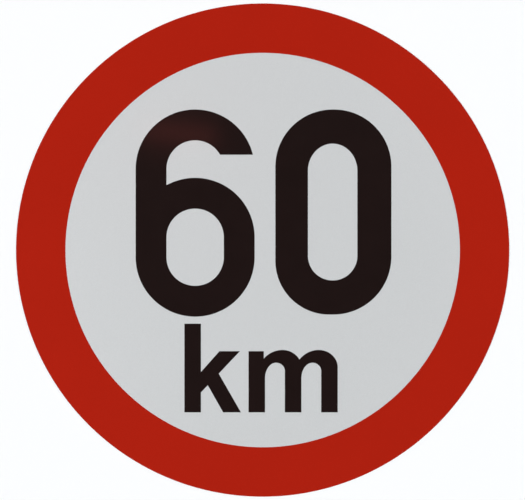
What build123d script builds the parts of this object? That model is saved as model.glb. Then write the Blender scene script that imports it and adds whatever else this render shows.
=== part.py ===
from build123d import *
import os

# Round speed limit sticker, lying face up. Its adhesive back lies on z = 0, with the origin at the
# middle of the disc. +Y is up on the printed face and +X is to its right. Sizes are millimetres.

# Film and ink
disc_diameter = 200.0
film_thickness = 0.20
ink_thickness = 0.02
border_width = 20.0

# Bare film between the print and the border's inner edge, and between the two rows of print
head_room = 23.1
side_room = 28.25
foot_room = 14.3
row_gap = 3.05

# Each row is centred on the disc but for its own small shift to the right
figure_row_shift = 0.35
unit_row_shift = -0.65

# Figures: they fill the height left above the unit and the width left between the side rooms
figure_gap = 8.6
six_extra_width = 1.2
zero_foot_rise = 0.85
six_stroke = 12.3
zero_left_stroke = 13.0
zero_right_stroke = 13.6
zero_end_stroke = 13.65
zero_top_trim = 0.3
zero_lower_left_trim = 1.7

# The top of the zero's counter rises a little higher than a true round on its half width
zero_inner_rise_share = 1.1

# A six with a round bowl leaves some height to spare. The bowl's straight sides take one share of
# it, the opening above the bowl takes another, and the hook hangs down through the rest.
six_straight_share = 0.343
six_opening_share = 0.408

# Unit letters, measured up from their baseline and right from each letter's own left edge
ascender_height = 35.75
x_height = 24.6
letter_stem = 6.5
letter_gap = 3.35

# k: the arm leaves the stem between two heights, and the leg hangs from the arm's lower edge
k_arm_upper_root = 16.0
k_arm_lower_root = 8.0
k_arm_top_near = 14.15
k_arm_top_far = 22.2
k_notch_x = 9.4
k_crotch_x = 13.7
k_foot_near = 15.65
k_foot_far = 22.65

# m: two like arches, each rising from the leg before it to a crown and falling to a leg of its own
m_pitch = 14.73
m_ear_cut = 0.5
m_overshoot = 0.5
m_crown_stroke = 4.98
m_spring_drop = 11.35
m_shoulder_run = 7.6
m_shoulder_drop = 6.9
m_counter_spring_run = 4.6
m_counter_fall_drop = 3.5

# Circles and levels
disc_radius = disc_diameter / 2
field_radius = disc_radius - border_width
print_plane = Plane.XY.offset(film_thickness)

# Row heights: the unit stands above its foot room, and the figures reach up to their head room
baseline = foot_room - field_radius
six_foot = baseline + ascender_height + row_gap
zero_foot = six_foot + zero_foot_rise
figure_top = field_radius - head_room
six_height = figure_top - six_foot
zero_height = figure_top - zero_foot

# Row widths
figure_row_width = 2 * (field_radius - side_room)
zero_width = (figure_row_width - figure_gap - six_extra_width) / 2
six_width = zero_width + six_extra_width
six_left = figure_row_shift - figure_row_width / 2
six_x = six_left + six_width / 2
zero_left = six_left + six_width + figure_gap
zero_right = zero_left + zero_width
k_width = max(k_arm_top_far, k_foot_far)
m_width = letter_stem + 2 * m_pitch
k_left = unit_row_shift - (k_width + letter_gap + m_width) / 2
m_left = k_left + k_width + letter_gap

# Film: one die-cut disc, its adhesive counted in its thickness
with BuildPart() as reflective_film:
    with BuildSketch(Plane.XY):
        Circle(disc_radius)
    extrude(amount=film_thickness)

# Border: a ring of ink that runs out to the cut edge
with BuildPart() as red_border:
    with BuildSketch(print_plane):
        Circle(disc_radius)
        Circle(field_radius, mode=Mode.SUBTRACT)
    extrude(amount=ink_thickness)

# Six: a tall round-ended ring, cleared on the right below the hook's level end, then closed below
# by the bowl, a shorter ring on the same foot
six_inner_width = six_width - 2 * six_stroke
six_spare = six_height - six_stroke - six_width
bowl_straight = six_straight_share * six_spare
bowl_height = six_width + bowl_straight
hook_end_height = bowl_height + six_opening_share * six_spare

with BuildPart() as digit_six:
    with BuildSketch(print_plane):
        with Locations((six_x, six_foot + six_height / 2)):
            SlotCenterToCenter(six_height - six_width, six_width, rotation=90)
            SlotCenterToCenter(
                six_height - six_width, six_inner_width, rotation=90, mode=Mode.SUBTRACT
            )
        with Locations((six_x, six_foot)):
            Rectangle(
                six_width, hook_end_height, align=(Align.MIN, Align.MIN), mode=Mode.SUBTRACT
            )
        with Locations((six_x, six_foot + bowl_height / 2)):
            SlotCenterToCenter(bowl_straight, six_width, rotation=90)
            SlotCenterToCenter(bowl_straight, six_inner_width, rotation=90, mode=Mode.SUBTRACT)
    extrude(amount=ink_thickness)

# Zero: a ring with round ends, a little heavier on the right. The lower right corner takes the full
# round of half the width. The others are tighter, and short level runs join them.
zero_radius = zero_width / 2
zero_inner_left = zero_left + zero_left_stroke
zero_inner_right = zero_right - zero_right_stroke
zero_inner_x = (zero_inner_left + zero_inner_right) / 2
zero_inner_radius = (zero_inner_right - zero_inner_left) / 2
zero_inner_rise = zero_inner_rise_share * zero_inner_radius
zero_inner_upper_y = figure_top - zero_end_stroke - zero_inner_rise
zero_inner_lower_y = zero_foot + zero_end_stroke + zero_inner_radius

with BuildSketch() as zero_shape:
    with Locations((zero_left + zero_radius, zero_foot + zero_height / 2)):
        Rectangle(zero_width, zero_height)
    fillet(zero_shape.vertices().group_by(Axis.Y)[-1], zero_radius - zero_top_trim)
    fillet(
        zero_shape.vertices().group_by(Axis.Y)[0].sort_by(Axis.X)[0],
        zero_radius - zero_lower_left_trim,
    )
    fillet(zero_shape.vertices().group_by(Axis.Y)[0].sort_by(Axis.X)[-1], zero_radius)
    with BuildLine():
        EllipticalCenterArc(
            (zero_inner_x, zero_inner_upper_y), zero_inner_radius, zero_inner_rise, 0, arc_size=180
        )
        Line((zero_inner_left, zero_inner_upper_y), (zero_inner_left, zero_inner_lower_y))
        CenterArc((zero_inner_x, zero_inner_lower_y), zero_inner_radius, 180, 180)
        Line((zero_inner_right, zero_inner_lower_y), (zero_inner_right, zero_inner_upper_y))
    make_face(mode=Mode.SUBTRACT)

with BuildPart() as digit_zero:
    with BuildSketch(print_plane):
        add(zero_shape.sketch)
    extrude(amount=ink_thickness)

# k: stem, arm and leg. Both corners at the top of the leg lie on the arm's lower edge.
k_arm_slope = (x_height - k_arm_lower_root) / (k_arm_top_far - letter_stem)
k_notch_y = k_arm_lower_root + (k_notch_x - letter_stem) * k_arm_slope
k_crotch_y = k_arm_lower_root + (k_crotch_x - letter_stem) * k_arm_slope

with BuildSketch() as k_strokes:
    Rectangle(letter_stem, ascender_height, align=(Align.MIN, Align.MIN))
    with BuildLine():
        Polyline(
            (letter_stem, k_arm_upper_root),
            (k_arm_top_near, x_height),
            (k_arm_top_far, x_height),
            (letter_stem, k_arm_lower_root),
            close=True,
        )
    make_face()
    with BuildLine():
        Polyline(
            (k_notch_x, k_notch_y),
            (k_crotch_x, k_crotch_y),
            (k_foot_far, 0),
            (k_foot_near, 0),
            close=True,
        )
    make_face()

with BuildPart() as letter_k:
    with BuildSketch(print_plane):
        with Locations((k_left, baseline)):
            add(k_strokes.sketch)
    extrude(amount=ink_thickness)

# m: one arch, drawn from the left edge of its own leg. Its outside springs from the middle line of
# the leg before it and its counter from that leg's right edge, at one height.
crown_y = x_height + m_overshoot
counter_top_y = crown_y - m_crown_stroke
spring_y = crown_y - m_spring_drop
shoulder_y = crown_y - m_shoulder_drop
counter_fall_y = counter_top_y - m_counter_fall_drop
counter_left_x = letter_stem - m_pitch
counter_crown_x = counter_left_x + m_counter_spring_run
spring_x = counter_left_x - letter_stem / 2
crown_x = letter_stem - m_shoulder_run

with BuildSketch() as m_arch:
    with BuildLine():
        EllipticalCenterArc(
            (crown_x, spring_y), crown_x - spring_x, m_spring_drop, 90, arc_size=90
        )
        EllipticalCenterArc(
            (crown_x, shoulder_y), m_shoulder_run, m_shoulder_drop, 0, arc_size=90
        )
        Polyline((letter_stem, shoulder_y), (letter_stem, 0), (0, 0), (0, counter_fall_y))
        EllipticalCenterArc(
            (counter_crown_x, counter_fall_y), -counter_crown_x, m_counter_fall_drop, 0, arc_size=90
        )
        EllipticalCenterArc(
            (counter_crown_x, spring_y),
            m_counter_spring_run,
            counter_top_y - spring_y,
            90,
            arc_size=90,
        )
        Line((counter_left_x, spring_y), (spring_x, spring_y))
    make_face()

with BuildPart() as letter_m:
    with BuildSketch(print_plane):
        with Locations((m_left, baseline)):
            Rectangle(letter_stem, counter_top_y, align=(Align.MIN, Align.MIN))
            Rectangle(letter_stem - m_ear_cut, x_height, align=(Align.MIN, Align.MIN))
        with Locations((m_left + m_pitch, baseline), (m_left + 2 * m_pitch, baseline)):
            add(m_arch.sketch)
    extrude(amount=ink_thickness)

reflective_film.part.label = "reflective_film"
red_border.part.label = "red_border"
digit_six.part.label = "digit_six"
digit_zero.part.label = "digit_zero"
letter_k.part.label = "letter_k"
letter_m.part.label = "letter_m"

os.makedirs("parts", exist_ok=True)
export_step(reflective_film.part, "parts/reflective_film.step")
export_step(red_border.part, "parts/red_border.step")
export_step(digit_six.part, "parts/digit_six.step")
export_step(digit_zero.part, "parts/digit_zero.step")
export_step(letter_k.part, "parts/letter_k.step")
export_step(letter_m.part, "parts/letter_m.step")
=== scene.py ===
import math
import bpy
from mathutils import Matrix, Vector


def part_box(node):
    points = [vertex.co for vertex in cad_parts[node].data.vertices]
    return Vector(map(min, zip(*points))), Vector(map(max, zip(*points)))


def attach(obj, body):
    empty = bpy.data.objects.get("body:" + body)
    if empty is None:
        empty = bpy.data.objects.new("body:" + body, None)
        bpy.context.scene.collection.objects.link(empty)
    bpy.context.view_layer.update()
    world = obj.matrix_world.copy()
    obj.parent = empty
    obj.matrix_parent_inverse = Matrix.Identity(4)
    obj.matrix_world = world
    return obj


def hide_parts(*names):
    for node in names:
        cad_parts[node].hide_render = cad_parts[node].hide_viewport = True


bl_info = {
    "name": "Speed limit sticker",
    "version": (1, 0, 0),
    "blender": (4, 5, 0),
    "location": "3D View > Sidebar > Sticker",
    "description": "Builds a round reflective speed limit sticker around its CAD frame",
    "category": "Add Mesh",
}

import bmesh
import bpy
from bpy.props import FloatProperty, FloatVectorProperty, IntProperty, PointerProperty
from mathutils import Matrix, Vector

# Everything is in metres, in the frame's own axes: the adhesive back lies on z = 0, +Z leaves the
# printed face, and +Y is up on the print.
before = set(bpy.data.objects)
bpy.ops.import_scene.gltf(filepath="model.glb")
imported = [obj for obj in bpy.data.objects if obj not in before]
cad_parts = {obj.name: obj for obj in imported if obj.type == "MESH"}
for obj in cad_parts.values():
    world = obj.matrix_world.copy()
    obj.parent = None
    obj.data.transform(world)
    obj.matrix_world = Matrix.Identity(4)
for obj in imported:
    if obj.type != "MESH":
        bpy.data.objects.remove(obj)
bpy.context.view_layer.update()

MM = 0.001


def radii(node_name):
    """The smallest and largest distance of a CAD node's points from the disc's centre line."""
    found = [Vector(v.co.xy).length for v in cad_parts[node_name].data.vertices]
    return min(found), max(found)


DISC_RADIUS = radii("reflective_film")[1]
FIELD_RADIUS = radii("red_border")[0]
FILM_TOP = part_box("reflective_film")[1].z
INK_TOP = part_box("red_border")[1].z


# Settings


class StickerFilmSettings(bpy.types.PropertyGroup):
    """The reflective film: its cut, its adhesive and its beaded face."""

    film_colour: FloatVectorProperty(
        name="Film colour",
        description="Pearl grey of the bare film under soft light",
        subtype="COLOR",
        size=3,
        min=0.0,
        max=1.0,
        default=(0.632, 0.645, 0.650),
    )
    adhesive_colour: FloatVectorProperty(
        name="Adhesive colour",
        description="Silver layer seen through the clear adhesive on the back",
        subtype="COLOR",
        size=3,
        min=0.0,
        max=1.0,
        default=(0.46, 0.455, 0.43),
    )
    cut_colour: FloatVectorProperty(
        name="Cut edge colour",
        description="Clear layer of the film where the knife has gone through it",
        subtype="COLOR",
        size=3,
        min=0.0,
        max=1.0,
        default=(0.72, 0.72, 0.70),
    )
    bead_pitch: FloatProperty(
        name="Bead pitch",
        description="Distance between neighbouring glass beads",
        unit="LENGTH",
        precision=6,
        min=0.02 * MM,
        max=1 * MM,
        default=0.09 * MM,
    )
    bead_contrast: FloatProperty(
        name="Bead contrast",
        description="How much one bead may be lighter or darker than the next",
        subtype="FACTOR",
        min=0.0,
        max=0.5,
        default=0.06,
    )
    pearl: FloatProperty(
        name="Pearl",
        description="Share of the light that the metal layer behind the beads returns",
        subtype="FACTOR",
        min=0.0,
        max=1.0,
        default=0.25,
    )
    cloud_size: FloatProperty(
        name="Cloud size",
        description="Width of the faint lighter and darker clouds in the film",
        unit="LENGTH",
        precision=4,
        min=5 * MM,
        max=200 * MM,
        default=45 * MM,
    )
    cloud_contrast: FloatProperty(
        name="Cloud contrast",
        description="Strength of the clouds",
        subtype="FACTOR",
        min=0.0,
        max=0.2,
        default=0.012,
    )
    adhesive_thickness: FloatProperty(
        name="Adhesive thickness",
        description="Depth of the adhesive coat under the film",
        unit="LENGTH",
        precision=6,
        min=0.01 * MM,
        max=0.1 * MM,
        default=0.045 * MM,
    )
    adhesive_inset: FloatProperty(
        name="Adhesive inset",
        description="How far the adhesive draws back from the cut edge",
        unit="LENGTH",
        precision=6,
        min=0.0,
        max=0.2 * MM,
        default=0.04 * MM,
    )
    edge_roll: FloatProperty(
        name="Edge roll",
        description="Radius that the knife leaves along the top of the cut",
        unit="LENGTH",
        precision=6,
        min=0.0,
        max=0.1 * MM,
        default=0.05 * MM,
    )
    turns: IntProperty(
        name="Steps round the disc",
        description="Number of steps in each circle of the mesh",
        min=64,
        max=1440,
        default=720,
    )


class StickerPrintSettings(bpy.types.PropertyGroup):
    """The two inks and the way they lie on the film."""

    red_colour: FloatVectorProperty(
        name="Red ink",
        description="Translucent red of the border",
        subtype="COLOR",
        size=3,
        min=0.0,
        max=1.0,
        default=(0.402, 0.0126, 0.0038),
    )
    black_colour: FloatVectorProperty(
        name="Black ink",
        description="Warm black of the figures and letters",
        subtype="COLOR",
        size=3,
        min=0.0,
        max=1.0,
        default=(0.0115, 0.0059, 0.0054),
    )
    ink_round: FloatProperty(
        name="Ink edge",
        description="Radius to which the wet ink settles along its edges",
        unit="LENGTH",
        precision=6,
        min=0.001 * MM,
        max=0.018 * MM,
        default=0.012 * MM,
    )
    black_spread: FloatProperty(
        name="Black ink spread",
        description="How far the wet black ink creeps out past its drawn outline",
        unit="LENGTH",
        precision=6,
        min=0.0,
        max=0.3 * MM,
        default=0.10 * MM,
    )
    red_spread: FloatProperty(
        name="Red ink spread",
        description="How far the wet red ink creeps in past the border's drawn inner edge",
        unit="LENGTH",
        precision=6,
        min=0.0,
        max=0.3 * MM,
        default=0.045 * MM,
    )
    wave_length: FloatProperty(
        name="Wave length",
        description="Distance between the soft waves of the ink's surface",
        unit="LENGTH",
        precision=5,
        min=0.5 * MM,
        max=50 * MM,
        default=3.5 * MM,
    )
    wave_depth: FloatProperty(
        name="Wave depth",
        description="Height of those waves",
        unit="LENGTH",
        precision=6,
        min=0.0,
        max=0.05 * MM,
        default=0.003 * MM,
    )
    density_contrast: FloatProperty(
        name="Ink density",
        description="How unevenly the ink is laid down",
        subtype="FACTOR",
        min=0.0,
        max=0.5,
        default=0.04,
    )


class StickerStageSettings(bpy.types.PropertyGroup):
    """Floor, lamps and camera."""

    floor_radius: FloatProperty(
        name="Floor radius",
        description="Radius of the plain floor",
        unit="LENGTH",
        min=1.0,
        max=50.0,
        default=12.0,
    )
    floor_colour: FloatVectorProperty(
        name="Floor colour",
        description="Pale floor under the sticker",
        subtype="COLOR",
        size=3,
        min=0.0,
        max=1.0,
        default=(0.894, 0.9015, 0.905),
    )
    # Painted shade: the floor darkens to this colour far from the sticker, in place of light that
    # falls off
    far_painted_shade_colour: FloatVectorProperty(
        name="Far floor colour",
        description="Colour to which the floor falls off towards the horizon",
        subtype="COLOR",
        size=3,
        min=0.0,
        max=1.0,
        default=(0.626, 0.64, 0.65),
    )
    sky_strength: FloatProperty(
        name="Room light",
        description="Brightness of the light from all round the room",
        min=0.0,
        max=10.0,
        default=1.0,
    )
    left_strength: FloatProperty(
        name="Left light",
        description="Strength of the wide soft light from the left",
        min=0.0,
        max=20.0,
        default=1.43,
    )
    right_strength: FloatProperty(
        name="Right light",
        description="Strength of the wide soft light from the right",
        min=0.0,
        max=20.0,
        default=0.92,
    )
    glow_colour: FloatVectorProperty(
        name="Warm panel colour",
        description="Colour of the small panel mirrored in the top of the six",
        subtype="COLOR",
        size=3,
        min=0.0,
        max=1.0,
        default=(1.0, 0.19, 0.16),
    )
    glow_power: FloatProperty(
        name="Warm panel",
        description="Power of the small panel mirrored in the top of the six",
        unit="POWER",
        min=0.0,
        max=5.0,
        default=0.0031,
    )
    lens: FloatProperty(
        name="Lens",
        description="Focal length of the camera, in millimetres",
        unit="CAMERA",
        min=20.0,
        max=300.0,
        default=85.0,
    )
    view_width: FloatProperty(
        name="View width",
        description="Width of the picture, measured on the sticker's face",
        unit="LENGTH",
        precision=4,
        min=0.05,
        max=2.0,
        default=212.87 * MM,
    )
    view_centre: FloatVectorProperty(
        name="View centre",
        description="Point of the sticker in the middle of the picture",
        subtype="XYZ",
        unit="LENGTH",
        precision=5,
        size=2,
        default=(-0.065 * MM, 0.028 * MM),
    )


# Shared effects

# The beads lie in even rows at 0 and anyhow at 1
BEAD_DISORDER = 0.75


def new_group(name, inputs, outputs):
    """A shader node group with float inputs, each (name, default), and float outputs by name."""
    group = bpy.data.node_groups.new(name, "ShaderNodeTree")
    for label, default in inputs:
        socket = group.interface.new_socket(label, in_out="INPUT", socket_type="NodeSocketFloat")
        socket.default_value = default
    for label in outputs:
        group.interface.new_socket(label, in_out="OUTPUT", socket_type="NodeSocketFloat")
    start = group.nodes.new("NodeGroupInput")
    end = group.nodes.new("NodeGroupOutput")
    return group, start, end


def math_node(tree, operation, *values):
    """The output of a Math node on these sockets or numbers."""
    node = tree.nodes.new("ShaderNodeMath")
    node.operation = operation
    for place, value in enumerate(values):
        if isinstance(value, (int, float)):
            node.inputs[place].default_value = value
        else:
            tree.links.new(value, node.inputs[place])
    return node.outputs[0]


def swing(tree, value, contrast):
    """Turns a pattern that runs from 0 to 1 into a factor that swings round 1 by contrast."""
    centred = math_node(tree, "MULTIPLY_ADD", value, 2.0, -1.0)
    scaled = math_node(tree, "MULTIPLY", centred, contrast)
    return math_node(tree, "ADD", scaled, 1.0)


def lay_pattern(group, pattern, size):
    """Lays a pattern on the object in its own axes, with marks about as wide as size."""
    place = group.nodes.new("ShaderNodeTexCoord")
    scale = math_node(group, "DIVIDE", 1.0, size)
    group.links.new(place.outputs["Object"], pattern.inputs["Vector"])
    group.links.new(scale, pattern.inputs["Scale"])


def seeded_noise(group, start, size_input, detail, roughness):
    """Soft noise as wide as the group's input of that name, and different for each Seed."""
    noise = group.nodes.new("ShaderNodeTexNoise")
    noise.noise_dimensions = "4D"
    noise.inputs["Detail"].default_value = detail
    noise.inputs["Roughness"].default_value = roughness
    lay_pattern(group, noise, start.outputs[size_input])
    group.links.new(start.outputs["Seed"], noise.inputs["W"])
    return noise.outputs["Fac"]


def bead_grain_group():
    """Packed glass beads: each has a shade of its own and a slight dome."""
    name = "Bead grain"
    if name in bpy.data.node_groups:
        return bpy.data.node_groups[name]
    inputs = (("Pitch", 0.09 * MM), ("Contrast", 0.06))
    group, start, end = new_group(name, inputs, ("Shade", "Dome"))
    beads = group.nodes.new("ShaderNodeTexVoronoi")
    beads.voronoi_dimensions = "3D"
    beads.feature = "F1"
    beads.inputs["Randomness"].default_value = BEAD_DISORDER
    lay_pattern(group, beads, start.outputs["Pitch"])
    parts = group.nodes.new("ShaderNodeSeparateColor")
    group.links.new(beads.outputs["Color"], parts.inputs["Color"])
    shade = swing(group, parts.outputs["Red"], start.outputs["Contrast"])
    dome = math_node(group, "SUBTRACT", 1.0, beads.outputs["Distance"])
    group.links.new(shade, end.inputs["Shade"])
    group.links.new(dome, end.inputs["Dome"])
    return group


def cloud_group():
    """Wide soft clouds, for uneven tone in the film and uneven density in the inks."""
    name = "Soft clouds"
    if name in bpy.data.node_groups:
        return bpy.data.node_groups[name]
    inputs = (("Size", 45 * MM), ("Contrast", 0.012), ("Seed", 0.0))
    group, start, end = new_group(name, inputs, ("Tone",))
    clouds = seeded_noise(group, start, "Size", detail=3.0, roughness=0.5)
    tone = swing(group, clouds, start.outputs["Contrast"])
    group.links.new(tone, end.inputs["Tone"])
    return group


def surface_wave_group():
    """Soft waves with a finer ripple: Wave is their height, and Gloss swings round zero with it."""
    name = "Surface waves"
    if name in bpy.data.node_groups:
        return bpy.data.node_groups[name]
    inputs = (("Length", 3.5 * MM), ("Seed", 0.0))
    group, start, end = new_group(name, inputs, ("Wave", "Gloss"))
    waves = seeded_noise(group, start, "Length", detail=2.0, roughness=0.35)
    group.links.new(waves, end.inputs["Wave"])
    group.links.new(math_node(group, "ADD", waves, -0.5), end.inputs["Gloss"])
    return group


# Materials

COAT_WEIGHT = 0.6
COAT_ROUGHNESS = 0.15
COAT_IOR = 1.45

# The beads of the bare film, and what shows of them through the red ink
BEAD_ROUGHNESS = 0.42
BARE_DOME = 0.004 * MM
INKED_DOME = 0.002 * MM
PEARL_THROUGH_RED = 0.4

# Layers of the cut edge, in shares of its height, and how far the adhesive's upper edge blurs
CLEAR_END = 0.55
FILM_START = 0.62
ADHESIVE_BLUR = 0.1
CUT_ROUGHNESS = 0.5

ADHESIVE_METAL = 0.35
ADHESIVE_ROUGHNESS = 0.28
ADHESIVE_GLOSS_SWING = 0.3
ADHESIVE_RIPPLE = 0.03 * MM

# Black ink shows uneven density this many times as much as red does
BLACK_DENSITY = 4
BLACK_ROUGHNESS = 0.4
BLACK_GLOSS_SWING = 0.12


def new_material(name):
    """An empty node material: its tree, its Principled shader and its output are in place."""
    material = bpy.data.materials.new(name)
    material.use_nodes = True
    tree = material.node_tree
    tree.nodes.clear()
    shader = tree.nodes.new("ShaderNodeBsdfPrincipled")
    output = tree.nodes.new("ShaderNodeOutputMaterial")
    tree.links.new(shader.outputs["BSDF"], output.inputs["Surface"])
    return material, tree, shader


def group_node(tree, group, **values):
    """A group placed in a material, with its inputs set by name."""
    node = tree.nodes.new("ShaderNodeGroup")
    node.node_tree = group
    for label, value in values.items():
        node.inputs[label].default_value = value
    return node


def bead_node(tree, film):
    """The film's bead grain, placed in a material."""
    group = bead_grain_group()
    return group_node(tree, group, Pitch=film.bead_pitch, Contrast=film.bead_contrast)


def shaded_colour(tree, colour, *factors):
    """A colour multiplied by each of these factors."""
    value = factors[0]
    for factor in factors[1:]:
        value = math_node(tree, "MULTIPLY", value, factor)
    node = tree.nodes.new("ShaderNodeVectorMath")
    node.operation = "SCALE"
    node.inputs[0].default_value = tuple(colour)
    tree.links.new(value, node.inputs["Scale"])
    return node.outputs[0]


def bump(tree, height, depth):
    """A Bump node whose height runs over depth metres."""
    node = tree.nodes.new("ShaderNodeBump")
    node.inputs["Strength"].default_value = 1.0
    node.inputs["Distance"].default_value = depth
    tree.links.new(height, node.inputs["Height"])
    return node.outputs["Normal"]


def fill_ramp(node, stops):
    """Gives a Color Ramp node these stops, each (position, colour)."""
    elements = node.color_ramp.elements
    while len(elements) < len(stops):
        elements.new(0.5)
    for element, (position, colour) in zip(elements, stops):
        element.position = position
        element.color = (*colour, 1.0)


def gloss_coat(shader):
    """The clear top layer over beads or ink: the base under it has no gloss of its own."""
    shader.inputs["Specular IOR Level"].default_value = 0.0
    shader.inputs["Coat Weight"].default_value = COAT_WEIGHT
    shader.inputs["Coat Roughness"].default_value = COAT_ROUGHNESS
    shader.inputs["Coat IOR"].default_value = COAT_IOR


def beaded_material(name, film, colour, clouds, pearl, dome):
    """A coated face over glass beads: pearl is its share of metal, and dome the beads' height."""
    material, tree, shader = new_material(name)
    beads = bead_node(tree, film)
    shade = beads.outputs["Shade"]
    tone = group_node(tree, cloud_group(), **clouds).outputs["Tone"]
    tree.links.new(shaded_colour(tree, colour, shade, tone), shader.inputs["Base Color"])
    tree.links.new(math_node(tree, "MULTIPLY", shade, pearl), shader.inputs["Metallic"])
    rough = math_node(tree, "MULTIPLY", shade, BEAD_ROUGHNESS)
    tree.links.new(rough, shader.inputs["Roughness"])
    tree.links.new(bump(tree, beads.outputs["Dome"], dome), shader.inputs["Normal"])
    gloss_coat(shader)
    return material


def film_material(film):
    """Beads on a metal layer under a clear face: pearl grey, with a fine grain and faint clouds."""
    clouds = {"Size": film.cloud_size, "Contrast": film.cloud_contrast, "Seed": 2.0}
    name = "Reflective film"
    return beaded_material(name, film, film.film_colour, clouds, film.pearl, BARE_DOME)


def red_ink_material(film, ink):
    """Translucent red: the beads still shade it and lend it a little of their pearl."""
    clouds = {"Size": 30 * MM, "Contrast": ink.density_contrast, "Seed": 7.0}
    pearl = film.pearl * PEARL_THROUGH_RED
    return beaded_material("Red ink", film, ink.red_colour, clouds, pearl, INKED_DOME)


def cut_edge_material(film):
    """The knife's cut, from the back up: dull adhesive, a clear layer and the beaded film."""
    material, tree, shader = new_material("Cut edge")
    place = tree.nodes.new("ShaderNodeTexCoord")
    height = tree.nodes.new("ShaderNodeSeparateXYZ")
    tree.links.new(place.outputs["Object"], height.inputs["Vector"])
    level = math_node(tree, "DIVIDE", height.outputs["Z"], FILM_TOP)
    layers = tree.nodes.new("ShaderNodeValToRGB")
    adhesive_end = film.adhesive_thickness / FILM_TOP
    stops = (
        (0.0, film.adhesive_colour),
        (adhesive_end * (1 - ADHESIVE_BLUR), film.adhesive_colour),
        (adhesive_end * (1 + ADHESIVE_BLUR), film.cut_colour),
        (CLEAR_END, film.cut_colour),
        (FILM_START, film.film_colour),
        (1.0, film.film_colour),
    )
    fill_ramp(layers, stops)
    tree.links.new(level, layers.inputs["Fac"])
    clouds = group_node(tree, cloud_group(), Size=0.4 * MM, Contrast=0.12, Seed=5.0)
    tint = tree.nodes.new("ShaderNodeVectorMath")
    tint.operation = "SCALE"
    tree.links.new(layers.outputs["Color"], tint.inputs[0])
    tree.links.new(clouds.outputs["Tone"], tint.inputs["Scale"])
    tree.links.new(tint.outputs[0], shader.inputs["Base Color"])
    rough = math_node(tree, "MULTIPLY", clouds.outputs["Tone"], CUT_ROUGHNESS)
    tree.links.new(rough, shader.inputs["Roughness"])
    return material


def adhesive_material(film):
    """The back: silver seen through a clear, slightly rippled adhesive."""
    material, tree, shader = new_material("Adhesive back")
    shade = bead_node(tree, film).outputs["Shade"]
    clouds = group_node(tree, cloud_group(), Size=12 * MM, Contrast=0.12, Seed=9.0)
    tone = clouds.outputs["Tone"]
    waves = group_node(tree, surface_wave_group(), Length=1.8 * MM, Seed=4.0)
    colour = shaded_colour(tree, film.adhesive_colour, shade, tone)
    tree.links.new(colour, shader.inputs["Base Color"])
    tree.links.new(math_node(tree, "MULTIPLY", tone, ADHESIVE_METAL), shader.inputs["Metallic"])
    gloss = waves.outputs["Gloss"]
    rough = math_node(tree, "MULTIPLY_ADD", gloss, ADHESIVE_GLOSS_SWING, ADHESIVE_ROUGHNESS)
    tree.links.new(rough, shader.inputs["Roughness"])
    tree.links.new(bump(tree, waves.outputs["Wave"], ADHESIVE_RIPPLE), shader.inputs["Normal"])
    return material


def black_ink_material(ink):
    """Opaque warm black with a softly waved gloss, made once for figures and letters alike."""
    name = "Black ink"
    if name in bpy.data.materials:
        return bpy.data.materials[name]
    material, tree, shader = new_material(name)
    contrast = BLACK_DENSITY * ink.density_contrast
    clouds = group_node(tree, cloud_group(), Size=9 * MM, Contrast=contrast, Seed=11.0)
    waves = group_node(tree, surface_wave_group(), Length=ink.wave_length, Seed=1.0)
    colour = shaded_colour(tree, ink.black_colour, clouds.outputs["Tone"])
    tree.links.new(colour, shader.inputs["Base Color"])
    gloss = waves.outputs["Gloss"]
    rough = math_node(tree, "MULTIPLY_ADD", gloss, BLACK_GLOSS_SWING, BLACK_ROUGHNESS)
    tree.links.new(rough, shader.inputs["Roughness"])
    tree.links.new(bump(tree, waves.outputs["Wave"], ink.wave_depth), shader.inputs["Normal"])
    gloss_coat(shader)
    return material


# Meshes

# Rings in the flat faces, and steps round the knife's roll and the ink's soft edge
FILM_RINGS = 10
BORDER_RINGS = 4
ROLL_STEPS = 5
SOFT_EDGE_STEPS = 3

# By the z of a face's normal: over LEVEL the face is level, over UPWARD it looks up, under -UPWARD
# it looks down, and under UPRIGHT it is a wall
LEVEL = 0.9999
UPWARD = 0.99
UPRIGHT = 0.1

# An edge that turns by more than this is a crease
CREASE = math.radians(40)

# How a CAD outline is read: nearer points are one, a smaller turn is none, a sharper turn is a
# corner, a longer chord is a straight run, and an arc gets a point at each step
SAME_POINT = 0.0001 * MM
NO_TURN = math.radians(0.3)
CORNER = math.radians(20)
LONGEST_CHORD = 3 * MM
ARC_STEP = math.radians(1.5)

# Places in the film's list of materials
FACE, CUT, BACK = range(3)


def lathe(profile, turns):
    """A closed body turned round the centre line from a profile of (radius, height) points.

    A profile that starts and ends on the line closes there. Any other joins its last point to its
    first.
    """
    mesh = bmesh.new()
    angles = [2 * math.pi * k / turns for k in range(turns)]
    rings = []
    for radius, height in profile:
        places = [(radius * math.cos(a), radius * math.sin(a), height) for a in angles]
        if radius == 0:
            places = [(0, 0, height)]
        rings.append([mesh.verts.new(place) for place in places])
    pairs = list(zip(rings, rings[1:]))
    if len(rings[0]) > 1:
        pairs.append((rings[-1], rings[0]))
    for lower, upper in pairs:
        for k in range(turns):
            n = (k + 1) % turns
            corners = [lower[k % len(lower)], lower[n % len(lower)]]
            corners += [upper[n % len(upper)], upper[k % len(upper)]]
            mesh.faces.new(list(dict.fromkeys(corners)))
    bmesh.ops.recalc_face_normals(mesh, faces=mesh.faces)
    return mesh


def arc_points(centre, radius, first, last, steps):
    """Points on an arc in a profile's plane, from its first to its last angle in degrees."""
    found = []
    for k in range(steps + 1):
        a = math.radians(first + (last - first) * k / steps)
        found.append((centre[0] + radius * math.cos(a), centre[1] + radius * math.sin(a)))
    return found


def knife_roll(film, thickness, first, last):
    """The arc over the top of the cut, with this thickness of ink on it."""
    centre = (DISC_RADIUS - film.edge_roll, FILM_TOP - film.edge_roll)
    return arc_points(centre, film.edge_roll + thickness, first, last, ROLL_STEPS)


def add_object(name, data):
    """A new object in the scene."""
    made = bpy.data.objects.new(name, data)
    bpy.context.scene.collection.objects.link(made)
    return made


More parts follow.
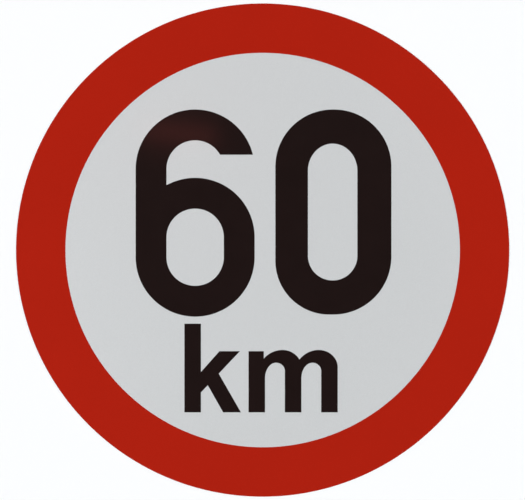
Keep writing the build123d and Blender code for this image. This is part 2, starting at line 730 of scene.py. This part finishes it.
def mesh_object(name, mesh, materials):
    """Turns a finished bmesh into an object with these materials."""
    data = bpy.data.meshes.new(name)
    mesh.to_mesh(data)
    mesh.free()
    for material in materials:
        data.materials.append(material)
    return add_object(name, data)


def make_piece(name, mesh, materials, node_name):
    """Turns a finished bmesh into a piece that stands for its CAD node and rides with it."""
    for face in mesh.faces:
        face.smooth = abs(face.normal.z) <= LEVEL
    for edge in mesh.edges:
        edge.smooth = edge.calc_face_angle(0) < CREASE
    piece = mesh_object(name, mesh, materials)
    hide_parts(node_name)
    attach(piece, "root")


def film_layer(face):
    """The place of the material that the film shows at this face."""
    if face.normal.z < -UPWARD:
        return BACK
    if face.normal.z < UPRIGHT:
        return CUT
    return FACE


def cad_outlines(node_name):
    """The outlines of a flat CAD node from above, each a ring of points with ink on its left."""
    mesh = bmesh.new()
    mesh.from_mesh(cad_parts[node_name].data)
    bmesh.ops.remove_doubles(mesh, verts=mesh.verts, dist=SAME_POINT)
    bmesh.ops.dissolve_limit(mesh, angle_limit=NO_TURN, verts=mesh.verts, edges=mesh.edges)
    bmesh.ops.recalc_face_normals(mesh, faces=mesh.faces)
    following = {}
    for face in mesh.faces:
        if face.normal.z > UPWARD:
            for corner in face.loops:
                if corner.link_loop_radial_next.face.normal.z < UPWARD:
                    following[corner.vert] = corner.link_loop_next.vert
    outlines = []
    while following:
        start, vertex = following.popitem()
        outline = [start.co.xy]
        while vertex != start:
            outline.append(vertex.co.xy)
            vertex = following.pop(vertex)
        outlines.append(outline)
    mesh.free()
    return outlines


def chord_sweep(chord, ends):
    """The angle of the arc that a chord cuts off, or 0 where it is a straight run.

    Each end is the turn there and the chord beyond it. That chord takes its share of the turn by
    length, unless it is a straight run.
    """
    shares = []
    for turn, beyond in ends:
        if abs(turn) < CORNER:
            curved = beyond.length <= LONGEST_CHORD
            whole = chord.length + beyond.length
            shares.append(turn * chord.length / whole if curved else turn)
    if not shares or chord.length >= LONGEST_CHORD:
        return 0.0
    return 2 * sum(shares) / len(shares)


def rounded_outline(points):
    """The outline with more points: each chord of a curved run becomes the arc that it cuts off."""
    chords = [after - here for here, after in zip(points, points[1:] + points[:1])]
    pairs = zip(chords[-1:] + chords[:-1], chords)
    turns = [math.atan2(one.cross(other), one.dot(other)) for one, other in pairs]
    found = []
    for k, (start, chord) in enumerate(zip(points, chords)):
        n = (k + 1) % len(points)
        sweep = chord_sweep(chord, ((turns[k], chords[k - 1]), (turns[n], chords[n])))
        found.append(start)
        steps = math.ceil(abs(sweep) / ARC_STEP)
        for step in range(1, steps):
            part = step / steps
            reach = math.sin(part * sweep / 2) / math.sin(sweep / 2)
            found.append(start + reach * (Matrix.Rotation((part - 1) * sweep / 2, 2) @ chord))
    return found


def spread_outline(points, distance):
    """The outline moved by distance away from the ink on its left, with its corners kept."""
    found = []
    for before, here, after in zip(points[-1:] + points[:-1], points, points[1:] + points[:1]):
        runs = (here - before, after - here)
        one, other = [Vector((run.y, -run.x)).normalized() for run in runs]
        found.append(here + (one + other) * distance / (1 + one.dot(other)))
    return found


def printed_shape(node_name, ink):
    """The CAD node's outlines as a layer of ink that has crept out and settled to a soft edge."""
    edge_centre = (-ink.ink_round, INK_TOP - ink.ink_round)
    soft_edge = arc_points(edge_centre, ink.ink_round, 0, 90, SOFT_EDGE_STEPS)
    mesh = bmesh.new()
    for outline in cad_outlines(node_name):
        points = rounded_outline(outline)
        rings = []
        for out, height in [(0.0, FILM_TOP)] + soft_edge:
            ring = spread_outline(points, ink.black_spread + out)
            rings.append([mesh.verts.new((*point, height)) for point in ring])
        for lower, upper in zip(rings, rings[1:]):
            for k in range(len(points)):
                mesh.faces.new((lower[k - 1], lower[k], upper[k], upper[k - 1]))
    # The fill can take close points for one, so it is made at a thousand times the size
    bmesh.ops.scale(mesh, vec=(1 / MM,) * 3, verts=mesh.verts)
    rims = [edge for edge in mesh.edges if edge.is_boundary]
    middle = (FILM_TOP + INK_TOP) / 2 / MM
    for rim in (
        [edge for edge in rims if edge.verts[0].co.z < middle],
        [edge for edge in rims if edge.verts[0].co.z > middle],
    ):
        bmesh.ops.triangle_fill(mesh, use_beauty=True, edges=rim)
    bmesh.ops.scale(mesh, vec=(MM,) * 3, verts=mesh.verts)
    bmesh.ops.recalc_face_normals(mesh, faces=mesh.faces)
    return mesh


def print_black(pieces, ink):
    """Builds these pieces in black ink, each (piece name, CAD node)."""
    for piece_name, node_name in pieces:
        mesh = printed_shape(node_name, ink)
        make_piece(piece_name, mesh, [black_ink_material(ink)], node_name)


# Stage

FLOOR_SIDES = 128
FLOOR_GAP = 0.02 * MM
# Distances from the sticker between which painted shade takes the floor to its far colour
PAINTED_SHADE_START = 0.2
PAINTED_SHADE_END = 2.2

# Colour of the room's light by the height that it comes from: 0 is the horizon, 1 straight above
ROOM_COLOURS = (
    (0.0, (0.68, 0.695, 0.706)),
    (0.15, (0.63, 0.645, 0.656)),
    (0.27, (0.40, 0.41, 0.42)),
    (0.45, (0.35, 0.36, 0.37)),
    (0.62, (0.60, 0.61, 0.62)),
    (0.78, (1.10, 1.11, 1.12)),
    (0.85, (0.90, 0.91, 0.92)),
    (0.93, (0.10, 0.10, 0.10)),
    (1.0, (0.06, 0.06, 0.06)),
)

# The sides that the two side lights come from, and the angle over which they are soft
LEFT_LIGHT = (-0.70, -0.15, 0.75)
RIGHT_LIGHT = (0.75, 0.30, 0.75)
SIDE_LIGHT_SPREAD = math.radians(40)

# The warm panel, and the point of the face in which the camera sees its middle mirrored
PANEL_SIZE = (44 * MM, 9 * MM)
PANEL_HEIGHT = 0.2
PANEL_TURN = math.radians(-6)
MIRROR_POINT = Vector((-35 * MM, 47.5 * MM))

# Width of the camera's sensor in millimetres, as the lens is
SENSOR_WIDTH = 36.0
NEAREST_SEEN = 0.01
FARTHEST_SEEN = 100.0


def by_identifier(sockets, identifier):
    """The socket with this identifier, on a node whose sockets share their names."""
    return next(socket for socket in sockets if socket.identifier == identifier)


def floor_material(stage):
    """Plain matt floor, pale under the sticker, with painted shade that darkens it far off."""
    material, tree, shader = new_material("Pale floor")
    place = tree.nodes.new("ShaderNodeTexCoord")
    away = tree.nodes.new("ShaderNodeVectorMath")
    away.operation = "LENGTH"
    # Painted shade: the floor's colour darkens with distance from the sticker
    painted_shade_fade = tree.nodes.new("ShaderNodeMapRange")
    painted_shade_fade.interpolation_type = "SMOOTHSTEP"
    painted_shade_fade.inputs["From Min"].default_value = PAINTED_SHADE_START
    painted_shade_fade.inputs["From Max"].default_value = PAINTED_SHADE_END
    blend = tree.nodes.new("ShaderNodeMix")
    blend.data_type = "RGBA"
    tree.links.new(place.outputs["Object"], away.inputs[0])
    tree.links.new(away.outputs["Value"], painted_shade_fade.inputs["Value"])
    tree.links.new(painted_shade_fade.outputs["Result"], blend.inputs["Factor"])
    by_identifier(blend.inputs, "A_Color").default_value = (*stage.floor_colour, 1.0)
    by_identifier(blend.inputs, "B_Color").default_value = (*stage.far_painted_shade_colour, 1.0)
    tree.links.new(by_identifier(blend.outputs, "Result_Color"), shader.inputs["Base Color"])
    shader.inputs["Roughness"].default_value = 1.0
    shader.inputs["Specular IOR Level"].default_value = 0.0
    return material


def lay_floor(stage):
    """The round floor, a hair under the sticker."""
    mesh = bmesh.new()
    bmesh.ops.create_circle(mesh, cap_ends=True, segments=FLOOR_SIDES, radius=stage.floor_radius)
    bmesh.ops.translate(mesh, verts=mesh.verts, vec=(0, 0, -FLOOR_GAP))
    mesh_object("floor", mesh, [floor_material(stage)])


def room_light(strength):
    """Soft light from all round, dark straight above so that the gloss stays clean from there."""
    world = bpy.data.worlds.new("Room light")
    bpy.context.scene.world = world
    world.use_nodes = True
    tree = world.node_tree
    tree.nodes.clear()
    place = tree.nodes.new("ShaderNodeTexCoord")
    split = tree.nodes.new("ShaderNodeSeparateXYZ")
    ramp = tree.nodes.new("ShaderNodeValToRGB")
    light = tree.nodes.new("ShaderNodeBackground")
    output = tree.nodes.new("ShaderNodeOutputWorld")
    fill_ramp(ramp, ROOM_COLOURS)
    light.inputs["Strength"].default_value = strength
    tree.links.new(place.outputs["Generated"], split.inputs["Vector"])
    tree.links.new(split.outputs["Z"], ramp.inputs["Fac"])
    tree.links.new(ramp.outputs["Color"], light.inputs["Color"])
    tree.links.new(light.outputs["Background"], output.inputs["Surface"])


def side_light(name, side, strength):
    """Soft light from one side that reaches the whole floor alike."""
    data = bpy.data.lights.new(name, "SUN")
    data.angle = SIDE_LIGHT_SPREAD
    data.energy = strength
    lamp = add_object(name, data)
    lamp.location = side
    lamp.rotation_mode = "QUATERNION"
    lamp.rotation_quaternion = (-Vector(side)).to_track_quat("-Z", "Y")


def warm_panel(stage, lens_to_face):
    """The small lit panel above the sticker, which faces straight down and isn't seen itself."""
    data = bpy.data.lights.new("warm_panel", "AREA")
    data.shape = "RECTANGLE"
    data.size, data.size_y = PANEL_SIZE
    data.energy = stage.glow_power
    data.color = stage.glow_colour
    lamp = add_object("warm_panel", data)
    place = MIRROR_POINT * (1 + PANEL_HEIGHT / lens_to_face)
    lamp.location = (*place, PANEL_HEIGHT)
    lamp.rotation_euler = (0.0, 0.0, PANEL_TURN)
    lamp.visible_camera = False


def set_camera(stage, lens_to_face):
    """The camera, straight above the sticker's face."""
    data = bpy.data.cameras.new("camera")
    data.lens = stage.lens
    data.sensor_width = SENSOR_WIDTH
    data.clip_start = NEAREST_SEEN
    data.clip_end = FARTHEST_SEEN
    camera = add_object("camera", data)
    camera.location = (*stage.view_centre, FILM_TOP + lens_to_face)
    bpy.context.scene.camera = camera


# Operators


class STICKER_OT_film(bpy.types.Operator):
    """Build the die-cut reflective film with its adhesive back"""

    bl_idname = "sticker.film"
    bl_label = "Reflective film"

    def execute(self, context):
        film = context.scene.sticker_film
        adhesive_radius = DISC_RADIUS - film.adhesive_inset
        rings = [DISC_RADIUS * k / FILM_RINGS for k in range(1, FILM_RINGS)]
        back = [(0, 0)] + [(r, 0) for r in rings]
        back += [(adhesive_radius, 0), (adhesive_radius, film.adhesive_thickness)]
        wall = [(DISC_RADIUS, film.adhesive_thickness)]
        roll = knife_roll(film, thickness=0.0, first=0, last=90)
        face = [(r, FILM_TOP) for r in reversed(rings)] + [(0, FILM_TOP)]
        mesh = lathe(back + wall + roll + face, film.turns)
        for part in mesh.faces:
            part.material_index = film_layer(part)
        materials = [film_material(film), cut_edge_material(film), adhesive_material(film)]
        make_piece("film_disc", mesh, materials, "reflective_film")
        return {"FINISHED"}


class STICKER_OT_border(bpy.types.Operator):
    """Build the red border, printed out to the cut edge and rolled over with it"""

    bl_idname = "sticker.border"
    bl_label = "Red border"

    def execute(self, context):
        film = context.scene.sticker_film
        ink = context.scene.sticker_print
        inner_radius = FIELD_RADIUS - ink.red_spread
        width = DISC_RADIUS - film.edge_roll - inner_radius
        rings = [inner_radius + width * k / BORDER_RINGS for k in range(1, BORDER_RINGS)]
        under = [(inner_radius, FILM_TOP)] + [(r, FILM_TOP) for r in rings]
        under += knife_roll(film, thickness=0.0, first=90, last=0)
        # Over the roll the ink is cut off flush with the film, and both meet in one point
        over = knife_roll(film, thickness=INK_TOP - FILM_TOP, first=0, last=90)[1:]
        over = [(min(r, DISC_RADIUS), z) for r, z in over]
        face = [(r, INK_TOP) for r in reversed(rings)]
        edge_centre = (inner_radius + ink.ink_round, INK_TOP - ink.ink_round)
        soft_edge = arc_points(edge_centre, ink.ink_round, 90, 180, SOFT_EDGE_STEPS)
        mesh = lathe(under + over + face + soft_edge, film.turns)
        make_piece("border_print", mesh, [red_ink_material(film, ink)], "red_border")
        return {"FINISHED"}


class STICKER_OT_figures(bpy.types.Operator):
    """Build the six and the zero in black ink"""

    bl_idname = "sticker.figures"
    bl_label = "Figures"

    def execute(self, context):
        pieces = (("six_print", "digit_six"), ("zero_print", "digit_zero"))
        print_black(pieces, context.scene.sticker_print)
        return {"FINISHED"}


class STICKER_OT_unit(bpy.types.Operator):
    """Build the letters of the unit in black ink"""

    bl_idname = "sticker.unit"
    bl_label = "Unit letters"

    def execute(self, context):
        pieces = (("k_print", "letter_k"), ("m_print", "letter_m"))
        print_black(pieces, context.scene.sticker_print)
        return {"FINISHED"}


class STICKER_OT_stage(bpy.types.Operator):
    """Lay the pale floor, hang the soft lamps and set the camera straight above the sticker"""

    bl_idname = "sticker.stage"
    bl_label = "Stage"

    def execute(self, context):
        stage = context.scene.sticker_stage
        lens_to_face = stage.view_width / SENSOR_WIDTH * stage.lens
        lay_floor(stage)
        room_light(stage.sky_strength)
        side_light("left_light", LEFT_LIGHT, stage.left_strength)
        side_light("right_light", RIGHT_LIGHT, stage.right_strength)
        warm_panel(stage, lens_to_face)
        set_camera(stage, lens_to_face)
        colours = context.scene.view_settings
        colours.view_transform = "Standard"
        colours.look = "None"
        colours.exposure = 0.0
        colours.gamma = 1.0
        return {"FINISHED"}


class STICKER_PT_builder(bpy.types.Panel):
    """Lists the pieces of the sticker and their settings"""

    bl_idname = "STICKER_PT_builder"
    bl_label = "Speed limit sticker"
    bl_space_type = "VIEW_3D"
    bl_region_type = "UI"
    bl_category = "Sticker"

    def draw(self, context):
        layout = self.layout
        for operator in OPERATORS:
            layout.operator(operator.bl_idname)
        for holder, group in SETTINGS:
            box = layout.box()
            for name in group.__annotations__:
                box.prop(getattr(context.scene, holder), name)


SETTINGS = (
    ("sticker_film", StickerFilmSettings),
    ("sticker_print", StickerPrintSettings),
    ("sticker_stage", StickerStageSettings),
)
OPERATORS = (
    STICKER_OT_film,
    STICKER_OT_border,
    STICKER_OT_figures,
    STICKER_OT_unit,
    STICKER_OT_stage,
)


def register():
    for holder, group in SETTINGS:
        bpy.utils.register_class(group)
        setattr(bpy.types.Scene, holder, PointerProperty(type=group))
    for operator in OPERATORS:
        bpy.utils.register_class(operator)
    bpy.utils.register_class(STICKER_PT_builder)


def unregister():
    bpy.utils.unregister_class(STICKER_PT_builder)
    for operator in reversed(OPERATORS):
        bpy.utils.unregister_class(operator)
    for holder, group in reversed(SETTINGS):
        delattr(bpy.types.Scene, holder)
        bpy.utils.unregister_class(group)


def main():
    register()
    bpy.ops.sticker.film()
    bpy.ops.sticker.border()
    bpy.ops.sticker.figures()
    bpy.ops.sticker.unit()
    bpy.ops.sticker.stage()


if __name__ == "__main__":
    main()
